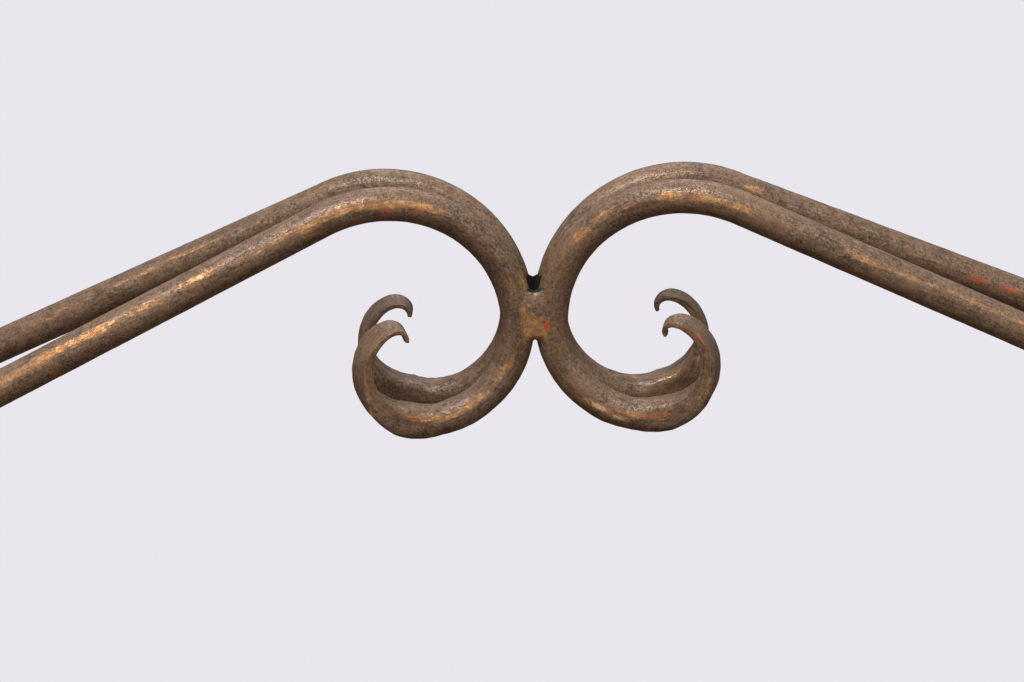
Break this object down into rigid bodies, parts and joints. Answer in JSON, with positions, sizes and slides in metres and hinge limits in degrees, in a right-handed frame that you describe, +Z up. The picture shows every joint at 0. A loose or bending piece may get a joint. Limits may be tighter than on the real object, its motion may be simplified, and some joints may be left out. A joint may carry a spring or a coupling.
{
  "type": "curtain rod with brackets",
  "caption": "Forged iron double curtain rod with a scrolled, welded centre, ball finials, and two wall brackets with open cups and thumb screws.",
  "frame": {"origin": "on the wall's face, midway between the brackets, level with the centre of the straight runs", "axes": "+X along the wall, +Y into the wall, +Z up"},
  "size_m": [1.5974, 0.2643, 0.2762],
  "materials": {
    "rod_paint": "aged satin paint rubbed through to gilt and red",
    "weld_gilt": "worn gilt",
    "finial_paint": "aged satin paint",
    "bracket_paint": "aged satin paint",
    "cup_paint": "aged satin paint",
    "rivet_iron": "hammered",
    "screw_steel": "dark oiled"
  },
  "bodies": {
    "brackets": {"left_wall_plate": "bracket_paint", "left_bracket_arm": "bracket_paint", "left_brace": "bracket_paint", "left_upper_wall_screw": "screw_steel", "left_lower_wall_screw": "screw_steel", "right_wall_plate": "bracket_paint", "right_bracket_arm": "bracket_paint", "right_brace": "bracket_paint", "right_upper_wall_screw": "screw_steel", "right_lower_wall_screw": "screw_steel", "front_left_cup": "cup_paint", "front_right_cup": "cup_paint", "back_left_cup": "cup_paint", "back_right_cup": "cup_paint", "front_left_rivet": "rivet_iron", "front_right_rivet": "rivet_iron", "back_left_rivet": "rivet_iron", "back_right_rivet": "rivet_iron"},
    "rod": {"front_left_bar": "rod_paint", "front_right_bar": "rod_paint", "back_left_bar": "rod_paint", "back_right_bar": "rod_paint", "front_centre_weld": "weld_gilt", "back_centre_weld": "weld_gilt", "left_side_weld": "weld_gilt", "right_side_weld": "weld_gilt", "front_left_finial": "finial_paint", "front_right_finial": "finial_paint", "back_left_finial": "finial_paint", "back_right_finial": "finial_paint"},
    "front_left_thumb_shank": {"front_left_thumb_shank": "screw_steel"},
    "front_left_thumb_paddle": {"front_left_thumb_paddle": "screw_steel"},
    "front_right_thumb_shank": {"front_right_thumb_shank": "screw_steel"},
    "front_right_thumb_paddle": {"front_right_thumb_paddle": "screw_steel"},
    "back_left_thumb_shank": {"back_left_thumb_shank": "screw_steel"},
    "back_left_thumb_paddle": {"back_left_thumb_paddle": "screw_steel"},
    "back_right_thumb_shank": {"back_right_thumb_shank": "screw_steel"},
    "back_right_thumb_paddle": {"back_right_thumb_paddle": "screw_steel"}
  },
  "joints": [
    {"name": "rod_lift", "type": "slide", "parent": "brackets", "child": "rod", "axis": [0, 0, 1], "range_m": [0, 0.05]},
    {"name": "front_left_thumb_slide", "type": "slide", "parent": "brackets", "child": "front_left_thumb_shank", "axis": [0, -1, 0], "range_m": [0, 0.0041]},
    {"name": "front_left_thumb_turn", "type": "hinge", "parent": "front_left_thumb_shank", "child": "front_left_thumb_paddle", "pos_m": [-0.66, -0.2026, 0], "axis": [0, -1, 0], "range_deg": [0, 1440]},
    {"name": "front_right_thumb_slide", "type": "slide", "parent": "brackets", "child": "front_right_thumb_shank", "axis": [0, -1, 0], "range_m": [0, 0.0041]},
    {"name": "front_right_thumb_turn", "type": "hinge", "parent": "front_right_thumb_shank", "child": "front_right_thumb_paddle", "pos_m": [0.66, -0.2026, 0], "axis": [0, -1, 0], "range_deg": [0, 1440]},
    {"name": "back_left_thumb_slide", "type": "slide", "parent": "brackets", "child": "back_left_thumb_shank", "axis": [0, -1, 0], "range_m": [0, 0.0041]},
    {"name": "back_left_thumb_turn", "type": "hinge", "parent": "back_left_thumb_shank", "child": "back_left_thumb_paddle", "pos_m": [-0.66, -0.0881, 0], "axis": [0, -1, 0], "range_deg": [0, 1440]},
    {"name": "back_right_thumb_slide", "type": "slide", "parent": "brackets", "child": "back_right_thumb_shank", "axis": [0, -1, 0], "range_m": [0, 0.0041]},
    {"name": "back_right_thumb_turn", "type": "hinge", "parent": "back_right_thumb_shank", "child": "back_right_thumb_paddle", "pos_m": [0.66, -0.0881, 0], "axis": [0, -1, 0], "range_deg": [0, 1440]}
  ],
  "couplings": [
    {"joint": "front_left_thumb_slide", "follows": "front_left_thumb_turn", "m_per_rad": 0.00015915},
    {"joint": "front_right_thumb_slide", "follows": "front_right_thumb_turn", "m_per_rad": 0.00015915},
    {"joint": "back_left_thumb_slide", "follows": "back_left_thumb_turn", "m_per_rad": 0.00015915},
    {"joint": "back_right_thumb_slide", "follows": "back_right_thumb_turn", "m_per_rad": 0.00015915}
  ]
}
